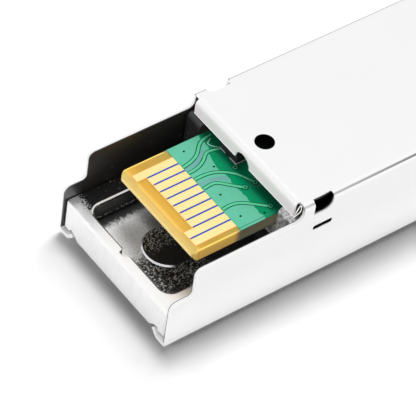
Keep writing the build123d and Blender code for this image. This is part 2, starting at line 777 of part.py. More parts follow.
def flex_strip(points):
    """A bent strip of flexible circuit, drawn in Y and Z."""
    line = FilletPolyline(*points, radius=flex_bend)
    return trace(line, line_width=flex)


def make_flexes():
    """Flexible circuits from the two diodes to the board."""
    over = board_top + film + seat_gap + flex / 2
    plate = optics_start - header_length - seat_gap - lead_length / 2
    strip = flex_strip([(plate, optical_level - flex_width / 2), (plate, over), (board_end - flex_lap, over)])
    laser_flex = along_x(strip, -flex_width / 2, flex_width / 2)
    for i in range(4):
        x = lead_circle * math.cos(math.radians(45 + 90 * i))
        z = optical_level + lead_circle * math.sin(math.radians(45 + 90 * i))
        laser_flex -= rod_y(lead_radius + lead_gap, plate - cut_over, plate + cut_over, x, z)

    wall = -optics_side / 2 - seat_gap - header_length - lead_length / 2
    middle = optics_start + optics_length / 2
    fold_end = -optics_side / 2 - moving_gap
    side = flex_strip([(wall, optical_level - flex_width / 2), (wall, over), (fold_end, over)])
    upright = along_y(side, middle - flex_width / 2, middle + flex_width / 2)
    lap = block(wall + flex_bend, fold_end, board_end - flex_lap, middle, over - flex / 2, over + flex / 2)
    detector_flex = upright + lap
    for i in range(4):
        y = optics_start + optics_length / 2 + lead_circle * math.cos(math.radians(45 + 90 * i))
        z = optical_level + lead_circle * math.sin(math.radians(45 + 90 * i))
        detector_flex -= rod_x(lead_radius + lead_gap, wall - cut_over, wall + cut_over, y, z)
    return laser_flex, detector_flex


def make_clamp():
    """Moulded saddle between the optical body and the cover."""
    low = optical_level + optics_side / 2 + seat_gap
    middle = optics_start + optics_length / 2
    clamp = block(-clamp_width / 2, clamp_width / 2, middle - clamp_length / 2, middle + clamp_length / 2,
                  low, body_height - sheet - seat_gap)
    return chamfer(clamp.edges().filter_by(Axis.Y), clamp_bevel)


def make_thermal_pad():
    low = board_top + film + chip_height + seat_gap
    half = driver_side / 2 - thermal_pad_edge
    return block(-half, half, driver_place - half, driver_place + half, low, body_height - sheet - seat_gap)


def all_parts():
    laser_can, detector_can = make_cans()
    laser_flex, detector_flex = make_flexes()
    top = board_top + film
    parts = {
        "base_housing": make_housing(),
        "sheet_cover": make_sheet_cover(),
        "shielding_collar": make_collar(),
        "bail_handle": make_bail(),
        "bail_shaft": make_shaft(),
        "latch_lever": make_lever(),
        "lever_pin": make_lever_pin(),
        "latch_spring": make_spring(),
        "circuit_board": make_board(),
        "solder_mask_upper": mask_film(board_top),
        "solder_mask_lower": mask_film(board_level - film),
        "contact_pads_upper": pads(board_top, range(1, 8)),
        "contact_pads_lower": pads(board_level - film, (1, 2, 7, 8)),
        "driver_chip": chip(driver_side, driver_side, chip_height, 0, driver_place, top),
        "memory_chip": chip(memory_width, memory_length, memory_height, memory_left + memory_width / 2,
                            memory_start + memory_length / 2, top),
        "controller_chip": mirror(
            chip(controller_side, controller_side, chip_height, 0, controller_place, 0),
            about=Plane.XY).moved(Pos(0, 0, board_level - film)),
        "thermal_pad": make_thermal_pad(),
        "optical_body": make_optical_body(),
        "receptacle_barrel": make_receptacle(),
        "ceramic_sleeve": make_sleeve(),
        "fibre_stub": make_stub(),
        "laser_can": laser_can,
        "detector_can": detector_can,
        "laser_flex": laser_flex,
        "detector_flex": detector_flex,
        "optics_clamp": make_clamp(),
    }
    parts.update(make_small_parts())
    return parts


os.makedirs("parts", exist_ok=True)
origin_shift = Pos(0, -overall_length / 2, finger_proud)
for name, shape in all_parts().items():
    export_step(origin_shift * shape, f"parts/{name}.step")
print("lever angle at full pull, degrees:", round(rise_angle, 3))
print("bail pivot:", round(pivot_place - overall_length / 2, 4), round(pivot_level + finger_proud, 4))
print("lever pivot:", round(lever_pin_place - overall_length / 2, 4))
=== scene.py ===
import math

import bpy
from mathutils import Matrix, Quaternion, Vector


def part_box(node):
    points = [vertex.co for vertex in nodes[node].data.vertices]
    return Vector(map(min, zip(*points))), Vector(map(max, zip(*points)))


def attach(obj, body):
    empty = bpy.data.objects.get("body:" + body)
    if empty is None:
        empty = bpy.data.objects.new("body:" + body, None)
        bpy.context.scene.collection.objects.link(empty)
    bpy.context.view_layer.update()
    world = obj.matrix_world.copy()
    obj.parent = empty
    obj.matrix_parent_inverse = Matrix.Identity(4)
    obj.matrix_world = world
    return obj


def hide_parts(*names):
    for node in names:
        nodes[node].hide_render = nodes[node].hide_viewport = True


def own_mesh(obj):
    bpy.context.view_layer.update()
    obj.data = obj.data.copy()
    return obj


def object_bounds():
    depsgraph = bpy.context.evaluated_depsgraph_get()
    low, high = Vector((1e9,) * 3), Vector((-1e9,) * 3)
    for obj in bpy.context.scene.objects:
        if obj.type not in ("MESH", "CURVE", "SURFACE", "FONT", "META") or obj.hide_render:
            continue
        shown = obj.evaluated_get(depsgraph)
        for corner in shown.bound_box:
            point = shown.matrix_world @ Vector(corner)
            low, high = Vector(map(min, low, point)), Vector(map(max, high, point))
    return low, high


# Looks of a small pluggable optical transceiver, built round its frame.
# Lengths are written in millimetres. Places are measured from the middle of the cover, from
# its rear edge and from the underside of its flanges: x across, y towards the fibre port,
# z up. at() turns them into the scene's metres. "Far" is the side away from the camera, -x.

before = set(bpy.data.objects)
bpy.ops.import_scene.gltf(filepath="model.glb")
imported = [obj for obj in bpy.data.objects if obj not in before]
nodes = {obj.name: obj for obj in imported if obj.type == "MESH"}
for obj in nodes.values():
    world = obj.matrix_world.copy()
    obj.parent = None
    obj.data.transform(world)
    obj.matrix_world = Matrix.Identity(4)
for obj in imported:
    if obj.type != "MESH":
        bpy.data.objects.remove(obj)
frame_low, frame_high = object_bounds()

MM = 0.001
cover_low, cover_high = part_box("sheet_cover")


def at(x, y, z):
    """A place in the module's own millimetres, in the scene's metres."""
    return Vector((x * MM, cover_low.y + y * MM, cover_low.z + z * MM))


def in_mm(point):
    """The same place the other way round."""
    return Vector((point.x, point.y - cover_low.y, point.z - cover_low.z)) / MM


def box_in_mm(node_name):
    """A node's two corners in module millimetres."""
    return [in_mm(corner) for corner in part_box(node_name)]


# Camera, as the photograph was taken: a long lens from above the near corner
camera_place = at(108.28, -93.44, 164.68)
camera_aim = at(1.588, 6.859, 6.25)
camera_roll = math.radians(9.08)
camera_picture = 36               # width that the lens length is given for
camera_lens = 258.55

# Folded cover
cover_half_width, cover_front, cover_top = in_mm(cover_high)
cover_sheet = 0.3
flange_top = 0.4
lip_plane = 11.1                  # the lip's outer face
lip_half_width = 6.1
lip_low = 7.1
hole_place = 12.9                 # round hole in the top, behind the lip
hole_radius = 0.75
slot_start, slot_end = 12.5, 14.5         # narrow slots in the side walls
slot_low, slot_high = 5.4, 6.0
slot_middle = (0, 13.42, 5.7)
window_start, window_end = 12.45, 14.15   # near corner window, in the top bend
window_low = 7.2
window_inside, window_outside = 6.3, 6.66   # its cut faces, from the cavity outwards
far_window_end = 14.6

# Cast housing
rail_top = 7.0
tray_rim = 3.25
tray_floor = 1.4
tray_start = 1.2
disc_top = 1.7                    # ejector mark in the tray
disc_place = 5.0
disc_radius = 2.1
rim_bevel_inside = -4.4           # the far bevel lies outside this
under_cover = 12.2                # past here the housing is seen only through the cover

# Circuit board
board_start = box_in_mm("circuit_board")[0].y
board_face = box_in_mm("solder_mask_upper")[1].z
mask_start = 7.64                 # where the printed tracks come out of the contacts
pad_count = 10
pad_pitch = 0.8
pad_width = 0.66
pad_offset = 0.15
pad_short_step = 0.8              # how much later a short contact starts
long_pads = (0, 8, 9)


# Colours, patterns and masks

def linear(code):
    """An sRGB hex colour as linear light, with full alpha."""
    parts = [int(code[i:i + 2], 16) / 255 for i in (1, 3, 5)]
    light = [c / 12.92 if c <= 0.04045 else ((c + 0.055) / 1.055) ** 2.4 for c in parts]
    return (*light, 1.0)


def add(tree, kind, inputs, **settings):
    """Adds a shader node with its settings, and sets or links its inputs."""
    node = tree.nodes.new("ShaderNode" + kind)
    for name, value in settings.items():
        setattr(node, name, value)
    for name, value in inputs.items():
        if isinstance(value, bpy.types.Node):
            tree.links.new(value.outputs[0], node.inputs[name])
        elif isinstance(value, bpy.types.NodeSocket):
            tree.links.new(value, node.inputs[name])
        else:
            node.inputs[name].default_value = value
    return node


def material(name, colour, roughness, metallic=0.0, **sockets):
    """A new material with its shader's fixed values set."""
    made = bpy.data.materials.new(name)
    made.use_nodes = True
    shader = made.node_tree.nodes["Principled BSDF"]
    shader.inputs["Base Color"].default_value = linear(colour)
    shader.inputs["Roughness"].default_value = roughness
    shader.inputs["Metallic"].default_value = metallic
    for socket, value in sockets.items():
        shader.inputs[socket.replace("_", " ")].default_value = value
    return made, made.node_tree, shader


def here(tree):
    """The point being shaded, in the piece's own metres."""
    return add(tree, "TexCoord", {}).outputs["Object"]


def grain(tree, size, detail=3.0, stretch=(1, 1, 1)):
    """A soft, uneven pattern whose spots have this size in millimetres.

    A direction with a small stretch draws the spots out into strokes along it."""
    point = add(tree, "Mapping", {"Vector": here(tree), "Scale": stretch})
    scale = 1 / (size * MM)
    return add(tree, "TexNoise", {"Vector": point, "Scale": scale, "Detail": detail}).outputs[0]


def past(tree, value, level, soft):
    """1 where a pattern or a length is past the level, 0 where it isn't."""
    return add(tree, "MapRange", {
        "Value": value, "From Min": level - soft / 2, "From Max": level + soft / 2},
        interpolation_type="SMOOTHSTEP").outputs[0]


def overlap(tree, *masks):
    """The part that all the masks share, or a mask at a share of its strength."""
    shared = masks[0]
    for mask in masks[1:]:
        shared = add(tree, "Math", {0: shared, 1: mask}, operation="MULTIPLY").outputs[0]
    return shared


def combined(tree, *masks):
    """All that any of the masks covers."""
    whole = masks[0]
    for mask in masks[1:]:
        whole = add(tree, "Math", {0: whole, 1: mask}, operation="MAXIMUM").outputs[0]
    return whole


def outside(tree, mask):
    """All that the mask leaves out."""
    return add(tree, "Math", {0: 1.0, 1: mask}, operation="SUBTRACT").outputs[0]


def zone(tree, soft, x=None, y=None, z=None, ragged=0.0, wander=0.25):
    """1 between two edges along each axis given, 0 outside them.

    Edges are in module millimetres, and None leaves a side open. The change takes the soft
    width, and a ragged edge strays by up to half that many millimetres, in spots of the
    wander's size."""
    sides = []
    for axis, edges in enumerate((x, y, z)):
        if edges is None:
            continue
        place = add(tree, "SeparateXYZ", {"Vector": here(tree)}).outputs[axis]
        if ragged:
            stray = add(tree, "Math", {0: grain(tree, wander, 4.0), 1: ragged * MM,
                                       2: -ragged / 2 * MM}, operation="MULTIPLY_ADD")
            place = add(tree, "Math", {0: place, 1: stray}, operation="ADD").outputs[0]
        for edge, before, after in ((edges[0], 0.0, 1.0), (edges[1], 1.0, 0.0)):
            if edge is not None:
                middle = at(edge, edge, edge)[axis]
                sides.append(add(tree, "MapRange", {
                    "Value": place, "From Min": middle - soft / 2 * MM,
                    "From Max": middle + soft / 2 * MM, "To Min": before, "To Max": after},
                    interpolation_type="SMOOTHSTEP").outputs[0])
    return overlap(tree, *sides)


def round_zone(tree, x, y, radius, soft):
    """1 inside an upright cylinder in module millimetres, 0 outside it."""
    flat = add(tree, "Mapping", {"Vector": here(tree), "Scale": (1, 1, 0)})
    centre = at(x, y, 0)
    away = add(tree, "VectorMath", {0: flat, 1: (centre.x, centre.y, 0)}, operation="DISTANCE")
    return outside(tree, past(tree, away.outputs["Value"], radius * MM, soft * MM))


def layers(tree, base, *coats, kind="RGBA"):
    """Lays colours over a base in turn, each where its mask is 1; kind FLOAT does numbers."""
    first, second, result = {"RGBA": (6, 7, 2), "FLOAT": (2, 3, 0)}[kind]
    under = linear(base) if isinstance(base, str) else base
    for mask, coat in coats:
        over = linear(coat) if isinstance(coat, str) else coat
        under = add(tree, "Mix", {0: mask, first: under, second: over},
                    data_type=kind).outputs[result]
    return under


def spread(tree, mask, low, high):
    """A number that runs from low to high as the mask or pattern goes from 0 to 1."""
    return add(tree, "MapRange", {"Value": mask, "To Min": low, "To Max": high}).outputs[0]


def feed(tree, shader, **sockets):
    """Links patterns to the shader's sockets."""
    for socket, value in sockets.items():
        tree.links.new(value, shader.inputs[socket.replace("_", " ")])


def relief(tree, shader, height, depth):
    """Gives the surface a fine relief of this depth in millimetres."""
    feed(tree, shader, Normal=add(tree, "Bump", {
        "Height": height, "Distance": depth * MM}).outputs[0])


# Materials. Grain sizes are those of the real surface, but none is under about 0.05 mm:
# what is finer wouldn't show in the render.

def cover_inside_painted_dark(tree):
    """The cover's inner faces behind its lip, where a dark reflection of the room is painted."""
    skin = 0.8 * cover_sheet
    face = cover_half_width - skin
    cavity = zone(tree, 0.03, x=(-face, face), z=(flange_top, cover_top - skin))
    past_lip = zone(tree, 0.05, y=(lip_plane + cover_sheet / 2, None))
    beside_lip = outside(tree, zone(tree, 0.05, x=(-lip_half_width, lip_half_width)))
    # The far window's end face is left out of the painted dark reflection, and stays pale
    margin = 0.06
    far_end_face = zone(tree, 0.02, x=(None, -6.0),
                        y=(far_window_end - margin, far_window_end + margin))
    return overlap(tree, cavity, combined(tree, past_lip, beside_lip), outside(tree, far_end_face))


def painted_bend_reflections(tree):
    """A painted reflection: the thin dark line of the room along each top bend, deeper towards the
    port.
    """
    line_low, line_high = cover_top - 0.2, cover_top - 0.085
    near = zone(tree, 0.05, x=(window_inside, None), z=(line_low, line_high))
    faint_at, deep_at = at(0, 11.5, 0).y, at(0, 24, 0).y
    deepens = add(tree, "MapRange", {
        "Value": add(tree, "SeparateXYZ", {"Vector": here(tree)}).outputs["Y"],
        "From Min": faint_at, "From Max": deep_at, "To Min": 0.35, "To Max": 0.9}).outputs[0]
    far_line_width, far_line_strength = 0.26, 0.65
    far = overlap(tree, zone(tree, 0.1, x=(None, far_line_width - cover_half_width)),
                  zone(tree, 0.05, z=(cover_top - cover_sheet, None)), far_line_strength)
    return combined(tree, overlap(tree, near, deepens), far)


def plated_sheet():
    """Nickel-plated rolled sheet: nearly white and satin outside, with a dark reflection painted
    inside.
    """
    made, tree, shader = material("nickel_plated_rolled_sheet", "#EFEFEE", 0.38, 1.0)
    inner = cover_inside_painted_dark(tree)
    # Painted dark reflection inside the cover, with pale scratches
    scratches = past(tree, grain(tree, 0.45, 6.0, (1, 0.5, 1)), 0.7, 0.05)
    inner_painted_reflection = layers(tree, "#707071", (scratches, "#B4B4B4"))

    # The walls mirror the pale floor and the top mirrors the sky. The walls are painted
    # lighter towards their foot, as painted light against the floor's shadow that they mirror
    bend_height = 0.45
    walls = zone(tree, 0.2, z=(None, cover_top - bend_height))
    wall_middle = 3.0
    wall_painted_light_tone = layers(tree, "#FFFFFF", (zone(tree, 6.0, z=(wall_middle, None)), "#F2F2F2"))
    outer_tone = layers(tree, "#F2F2F2", (walls, wall_painted_light_tone), (painted_bend_reflections(tree), "#4A4A4A"))

    # The lip is matt: it stays grey over the board instead of mirroring it. Its colour is
    # painted pink against the board's green bounce and lighter towards its foot; it glows a
    # little as painted light, and its cut edge glows more as a painted highlight
    lip = overlap(tree, zone(tree, 0.1, y=(lip_plane - 0.05, lip_plane + 0.16)),
                  zone(tree, 0.05, x=(-lip_half_width, lip_half_width)))
    lip_bend_low = 7.7
    lip_painted_tone = layers(tree, "#F4E6EE", (zone(tree, 0.5, z=(lip_bend_low, None)), "#EAE6E8"))
    lip_cut_edge = overlap(tree, lip, zone(tree, 0.04, z=(None, lip_low + 0.08)))

    # Cut faces of the near window and of the slots, painted dark as the shade of their own walls
    window_faces = overlap(
        tree, zone(tree, 0.02, y=(window_start - 0.02, window_end + 0.02)),
        zone(tree, 0.06, x=(window_inside, window_outside)),
        zone(tree, 0.02, z=(window_low - 0.03, cover_top - 0.08)))
    slot_outside = cover_half_width - 0.045
    slot_faces = zone(tree, 0.02, x=(-slot_outside, slot_outside),
                      y=(slot_start, slot_end), z=(slot_low, slot_high))
    # The top hole's wall is painted black as shade
    hole = overlap(tree, round_zone(tree, 0, hole_place, hole_radius + 0.02, 0.02),
                   zone(tree, 0.05, z=(cover_top - 0.5, None)))

    satin = spread(tree, grain(tree, 3.0, 2.0), 0.34, 0.44)
    matt = 0.75
    lip_painted_glow, cut_edge_painted_highlight = 0.28, 0.4
    feed(tree, shader,
         Base_Color=layers(tree, outer_tone, (lip, lip_painted_tone), (inner, inner_painted_reflection),
                           (combined(tree, window_faces, slot_faces), "#2C2C2D"),
                           (hole, "#070707")),
         Roughness=layers(tree, satin, (overlap(tree, walls, outside(tree, inner)), matt),
                          (lip, matt), kind="FLOAT"),
         Metallic=outside(tree, lip),
         Emission_Strength=add(tree, "Math", {
             0: overlap(tree, lip, lip_painted_glow), 1: overlap(tree, lip_cut_edge, cut_edge_painted_highlight)},
             operation="ADD").outputs[0])
    shader.inputs["Emission Color"].default_value = linear("#FFFFFF")
    rolling_lines = grain(tree, 0.12, 2.0, (1, 0.04, 1))
    relief(tree, shader, rolling_lines, 0.0012)
    return made


def behind_slots_painted_dark(tree):
    """The housing's sides where they are seen only through the cover's slots, painted dark there
    as shade.
    """
    return overlap(tree, zone(tree, 0.05, y=(slot_start, slot_end), z=(slot_low, slot_high)),
                   outside(tree, zone(tree, 0.05, x=(-window_inside, window_inside))))


def cast_zinc():
    """Die-cast zinc, blasted and nickel-plated: pale outside; in the tray its light, shade and
    glints are painted.
    """
    made, tree, shader = material("die_cast_zinc_nickel_plated", "#F4F4F3", 0.36, 1.0)
    grit = grain(tree, 0.16, 5.0)
    coarse = grain(tree, 0.22, 2.5)
    fine = grain(tree, 0.13)
    pale = layers(tree, "#F4F4F4", (grit, "#FFFFFF"))
    sand = layers(tree, "#DEDEDE", (past(tree, fine, 0.5, 0.4), "#FFFFFF"))
    # Painted shade with painted glints, and painted shade with paler spots
    speckle = layers(tree, "#333334", (past(tree, fine, 0.56, 0.14), "#FFFFFF"))
    dark = layers(tree, "#3A3A3B", (past(tree, coarse, 0.7, 0.06), "#A0A0A0"))

    # Tray floor: sandy on the far side; painted shade with painted glints in the middle, and
    # painted shade along its sides and towards and under the board
    sand_starts, sand_ends, dark_starts = -4.05, -0.3, 3.5
    shade_starts, shade_full = 4.9, 6.5
    far_strip = zone(tree, 0.7, x=(None, sand_starts), ragged=0.9, wander=0.3)
    middle = zone(tree, 1.8, x=(sand_ends, None), ragged=1.6, wander=0.5)
    near_strip = zone(tree, 1.4, x=(dark_starts, None), ragged=1.6, wander=0.5)
    toward_board = zone(tree, 1.4, y=(shade_starts, None), ragged=1.0, wander=0.3)
    under_board = zone(tree, 2.0, y=(shade_full, None))
    sand_in_painted_shade = layers(tree, "#5C5C5D", (fine, "#C8C8C8"))
    floor_tone = layers(tree, sand, (toward_board, sand_in_painted_shade), (middle, speckle),
                        (combined(tree, near_strip, far_strip, under_board), dark))

    # Ejector mark, with painted shade on its near part and a glowing painted highlight on its
    # near edge; the tray's walls are painted dark as shade
    disc_shade = zone(tree, 1.0, x=(-0.2, None), ragged=1.4, wander=0.4)
    disc_tone = layers(tree, speckle, (disc_shade, dark))
    disc_face = disc_top - 0.012
    disc_edge_highlight = overlap(tree, zone(tree, 0.01, z=(disc_top - 0.12, disc_face)),
                        zone(tree, 0.6, x=(-1.1, 1.9), y=(None, 4.1)),
                        round_zone(tree, 0, disc_place, disc_radius, 0.02))
    tray_walls = zone(tree, 0.1, z=(disc_top + 0.2, None))
    tray_tone = layers(tree, floor_tone, (zone(tree, 0.01, z=(disc_face, None)), disc_tone),
                       (disc_edge_highlight, "#FFFFFF"), (tray_walls, dark))

    # Rim round the tray: painted shade towards the far rear corner, a painted highlight on the
    # far bevel, painted black shade in the notch; above it the rails, the far one painted dark as
    # shade
    rim_painted_shade = overlap(tree, zone(tree, 0.6, x=(None, rim_bevel_inside), ragged=1.2, wander=0.3),
                       zone(tree, 0.5, y=(1.1, None), ragged=1.4, wander=0.3))
    rim_painted_deep_shade = overlap(tree, zone(tree, 0.5, x=(None, -4.75), ragged=0.9, wander=0.3),
                        zone(tree, 0.5, y=(1.5, None), ragged=1.2, wander=0.3))
    far_bevel_highlight = overlap(tree, zone(tree, 0.02, z=(tray_rim - 0.13, tray_rim - 0.02)),
                        zone(tree, 0.2, x=(None, rim_bevel_inside)))
    notch = overlap(tree, zone(tree, 0.05, x=(-0.75, 0.05), y=(0.3, 1.2)),
                    zone(tree, 0.02, z=(None, tray_rim - 0.04)))
    near_rail_tone = layers(tree, "#8C8C8C", (past(tree, coarse, 0.5, 0.4), "#FFFFFF"))
    rails = zone(tree, 0.05, z=(tray_rim + 0.1, None))
    rail_tone = layers(tree, dark, (zone(tree, 0.1, x=(0.0, None)), near_rail_tone))
    rim_tone = layers(tree, pale, (rim_painted_shade, speckle), (rim_painted_deep_shade, dark),
                      (far_bevel_highlight, "#FFFFFF"), (notch, "#101011"), (rails, rail_tone))

    # The rear end face is blasted in upright strokes
    in_tray = overlap(tree, zone(tree, 0.04, z=(None, tray_rim - 0.2)),
                      zone(tree, 0.05, y=(tray_start - 0.55, None)))
    end_face = zone(tree, 0.04, y=(None, 0.16))
    strokes = layers(tree, "#EFEFEF", (grain(tree, 0.14, 2.0, (1, 1, 0.06)), "#FFFFFF"))
    rear_tone = layers(tree, rim_tone, (in_tray, tray_tone), (end_face, strokes))

    # Past the board's rear part: painted dark as shade inside the cover, pale at the nose and the
    # head
    covered = zone(tree, 0.2, y=(under_cover, None))
    inside = overlap(tree, zone(tree, 0.05, z=(rail_top - 0.3, None)),
                     zone(tree, 0.1, y=(None, cover_front)))
    head_tone = layers(tree, "#D6D6D4", (grit, "#E6E6E4"))
    front_tone = layers(tree, pale, (zone(tree, 0.1, y=(cover_front, None)), head_tone),
                        (inside, "#0E0E0F"), (behind_slots_painted_dark(tree), "#141415"))

    # The tray is nearly matt, and its sandy part glows a little as painted light
    matt = overlap(tree, combined(tree, in_tray, far_bevel_highlight, rails), outside(tree, covered))
    painted_bright_sand = overlap(
        tree, outside(tree, middle), outside(tree, far_strip),
        zone(tree, 1.0, y=(None, 5.0)), zone(tree, 0.1, y=(tray_start, None)),
        zone(tree, 0.05, z=(tray_floor - 0.1, tray_floor + 0.1)))
    satin = spread(tree, grain(tree, 0.4), 0.28, 0.44)
    blasted = 0.7
    edge_glow, sand_painted_glow = 0.5, 0.12
    feed(tree, shader,
         Base_Color=layers(tree, rear_tone, (covered, front_tone)),
         Metallic=spread(tree, matt, 1.0, 0.1),
         Roughness=layers(tree, satin, (end_face, blasted), kind="FLOAT"),
         Emission_Strength=combined(tree, overlap(tree, disc_edge_highlight, edge_glow),
                                    overlap(tree, painted_bright_sand, sand_painted_glow)))
    shader.inputs["Emission Color"].default_value = linear("#FFFFFF")
    relief(tree, shader, grit, 0.006)
    return made


def plain_metal(name, colour, roughness, size, stretch, depth):
    """A metal whose fine grain shows only as broken highlights."""
    made, tree, shader = material(name, colour, roughness, 1.0)
    pattern = grain(tree, size, 3.0, stretch)
    feed(tree, shader, Roughness=spread(tree, pattern, roughness * 0.8, roughness * 1.2))
    relief(tree, shader, pattern, depth)
    return made


def laminate():
    """Glass-epoxy board, a little translucent: warm yellow, browner beside the contacts."""
    made, tree, shader = material(
        "glass_epoxy_laminate", "#EDC260", 0.42, 0.0, Coat_Weight=0.1,
        Subsurface_Weight=0.6, Subsurface_Scale=1.6 * MM, Subsurface_Radius=(1.0, 0.62, 0.25))
    patches = layers(tree, "#CB962B", (grain(tree, 2.0, 2.0), "#D5A636"))
    # The lead-in bevel and the front edge are painted lighter, as painted light
    bevel_length, edge_depth = 0.42, 0.03
    lead_in = zone(tree, 0.7, y=(None, board_start + bevel_length))
    front_edge = zone(tree, 0.04, y=(None, board_start + edge_depth))
    beside_pads = overlap(tree, zone(tree, 1.2, y=(4.6, None)),
                          outside(tree, zone(tree, 0.5, x=(-3.8, 4.2))))
    toward_mask = overlap(tree, zone(tree, 2.0, y=(6.6, None)),
                          outside(tree, zone(tree, 0.6, x=(-4.0, 4.2))))
    # The sides are painted bright as light, and darker past shaded_from as painted shade
    top_half_width, shaded_from = 4.5, 7.3
    sides = outside(tree, zone(tree, 0.14, x=(-top_half_width, top_half_width)))
    side_light_and_shade_tone = layers(tree, "#FFCC66", (zone(tree, 0.8, y=(shaded_from, None)), "#79735A"))
    tone = layers(tree, patches, (lead_in, "#F6D07A"), (front_edge, "#F6D596"),
                  (beside_pads, "#B88E30"), (toward_mask, "#A8923C"),
                  (overlap(tree, sides, outside(tree, lead_in)), side_light_and_shade_tone))

    # Painted glow on its sides and its front edge, where light through the laminate would show
    side_glow_strength = 0.32
    painted_side_glow = spread(tree, combined(tree, sides, front_edge), 0.0, side_glow_strength)
    feed(tree, shader, Base_Color=tone, Emission_Color=tone, Emission_Strength=painted_side_glow)
    weave = grain(tree, 0.25, 2.0, (1, 0.15, 1))
    relief(tree, shader, weave, 0.002)
    return made


def board_lacquer():
    """Green solder mask: glossy lacquer, with a painted deep green shade and less coat where the
    cover's lip overhangs it.
    """
    made, tree, shader = material("green_solder_mask", "#58B592", 0.3, 0.0,
                                  Specular_IOR_Level=0.0)

    # The painted shade's edge runs along the lip, strays a little, and slants on the far side
    point = add(tree, "SeparateXYZ", {"Vector": here(tree)})
    slant_start, slant, stray = -0.7, -0.22, 0.7
    shade_starts, shade_deepens = 10.14, 10.6
    lit_coat, shaded_coat = 1.0, 0.15
    farther = add(tree, "Math", {0: slant_start * MM, 1: point.outputs["X"]},
                  operation="SUBTRACT")
    farther = add(tree, "Math", {0: farther, 1: 0.0}, operation="MAXIMUM")
    edge = add(tree, "Math", {0: farther, 1: slant, 2: point.outputs["Y"]},
               operation="MULTIPLY_ADD")
    edge = add(tree, "Math", {0: grain(tree, 0.9, 1.0), 1: stray * MM, 2: edge},
               operation="MULTIPLY_ADD")
    under_lip = past(tree, edge.outputs[0], at(0, shade_starts, 0).y, 0.06 * MM)

    light = layers(tree, "#47A787", (grain(tree, 1.2, 2.0), "#57B496"))
    # Painted shade under the lip, deeper nearest it
    shade = layers(tree, "#04895B", (zone(tree, 1.0, y=(shade_deepens, None)), "#067452"))
    edge_line = zone(tree, 0.03, x=(4.34, 4.42))
    feed(tree, shader,
         Base_Color=layers(tree, light, (under_lip, shade), (edge_line, "#2C7F63")),
         Coat_Weight=spread(tree, under_lip, lit_coat, shaded_coat))
    relief(tree, shader, grain(tree, 0.3, 2.0), 0.002)
    return made


def gold():
    """Hard gold plating on the contacts: pale yellow, soft polish."""
    made, tree, shader = material("hard_gold_plating", "#F9E592", 0.32, 0.6)
    polish_lines = grain(tree, 0.5, 2.0, (1, 0.2, 1))
    feed(tree, shader, Base_Color=layers(tree, "#F3D786", (polish_lines, "#FAE3A6")))
    relief(tree, shader, polish_lines, 0.001)
    return made


def plain(name, colour, second, roughness, size, depth, metallic=0.0, **sockets):
    """A moulded, fired or coated surface: two close tones in a fine grain."""
    made, tree, shader = material(name, colour, roughness, metallic, **sockets)
    pattern = grain(tree, size)
    feed(tree, shader, Base_Color=layers(tree, colour, (pattern, second)))
    relief(tree, shader, pattern, depth)
    return made


steel = plated_sheet()
zinc = cast_zinc()
board = laminate()
lacquer = board_lacquer()
contact_gold = gold()

# Bright, with lines drawn out along the strip by its rolls
spring = plain_metal("rolled_spring_steel", "#D9D9D7", 0.2, 0.1, (1, 0.05, 1), 0.0008)
# Bright, with grinding lines round the pin
pin = plain_metal("ground_pin_steel", "#CFCFCD", 0.22, 0.08, (0.05, 1, 1), 0.0008)
# Warm grey, with fine turning marks
turned = plain_metal("turned_stainless_steel", "#CBC8C2", 0.24, 0.1, (0.05, 1, 0.05), 0.0012)
# Warm yellow metal, evenly plated
header = plain_metal("gold_plated_header", "#E6C878", 0.25, 0.1, (1, 1, 1), 0.0008)
# White metal where the sheet was sheared, so that it catches the light
burr = plain_metal("sheared_nickel_burr", "#FFFFFF", 0.3, 0.1, (1, 1, 1), 0.001)

# Chip mouldings: matt black with a slight orange-peel grain
epoxy = plain("moulded_black_epoxy", "#161617", "#232324", 0.55, 0.08, 0.004)
# Capacitor bodies: dull tan, fired
tan_ceramic = plain("fired_tan_ceramic", "#8A6B4C", "#A08059", 0.6, 0.06, 0.003)
# Resistor tops: black glass glaze
black_ceramic = plain("glazed_black_ceramic", "#141416", "#1E1E22", 0.25, 0.1, 0.001)
# Sintered powder: dark grey and dead matt
ferrite = plain("sintered_grey_ferrite", "#3A3836", "#4A4846", 0.7, 0.05, 0.004)
# Filled silicone: blue-grey and dull, with a sponge-like grain
filler = plain("silicone_thermal_pad", "#7F96A6", "#8FA6B4", 0.8, 0.15, 0.01)
# Ground ceramic: warm white, with a clean gloss
zirconia = plain("ground_white_zirconia", "#F3F1EA", "#E9E6DC", 0.2, 0.2, 0.0005,
                 Coat_Weight=0.3)
# Flexible film: clear amber, smooth
film = plain("amber_polyimide_film", "#B5661C", "#C4762A", 0.3, 0.3, 0.001, Coat_Weight=0.3)
# Moulded clamp: soft black sheen
nylon = plain("moulded_black_nylon", "#1E1E20", "#2B2B2D", 0.5, 0.1, 0.005)

# Copper under the lacquer, lit like the board; its gloss is the lacquer's coat alone
track = plain("lacquered_copper_track", "#42B480", "#5FC497", 0.25, 0.2, 0.001,
              Coat_Weight=0.4, Specular_IOR_Level=0.0)
# A painted shade line beside each raised track, deep green and without gloss
track_shade_line = plain("lacquered_track_edge", "#0A4331", "#115040", 0.6, 0.2, 0.001,
                   Specular_IOR_Level=0.0)
# Wide copper seen through the lacquer, greyer and bluer than the bare laminate
ground_band = plain("lacquered_ground_band", "#5E9E98", "#4F9089", 0.3, 0.4, 0.001,
                    Coat_Weight=0.3)
# A hole that light doesn't reach
via_hole = plain("open_via_hole", "#06120E", "#0A1E17", 0.8, 0.1, 0.001,
                 Specular_IOR_Level=0.0)
# A raised ring of copper under lacquer, its colour painted dark green as the lip's shade
ring_pad = plain("lacquered_ring_pad", "#2F9A6C", "#3FA67A", 0.3, 0.2, 0.001,
                 Coat_Weight=0.2, Specular_IOR_Level=0.0)
# Screen-printed ink: pale green-white, flat
ink = plain("pale_printed_outline", "#A9DCC6", "#BFE8D6", 0.4, 0.2, 0.001)
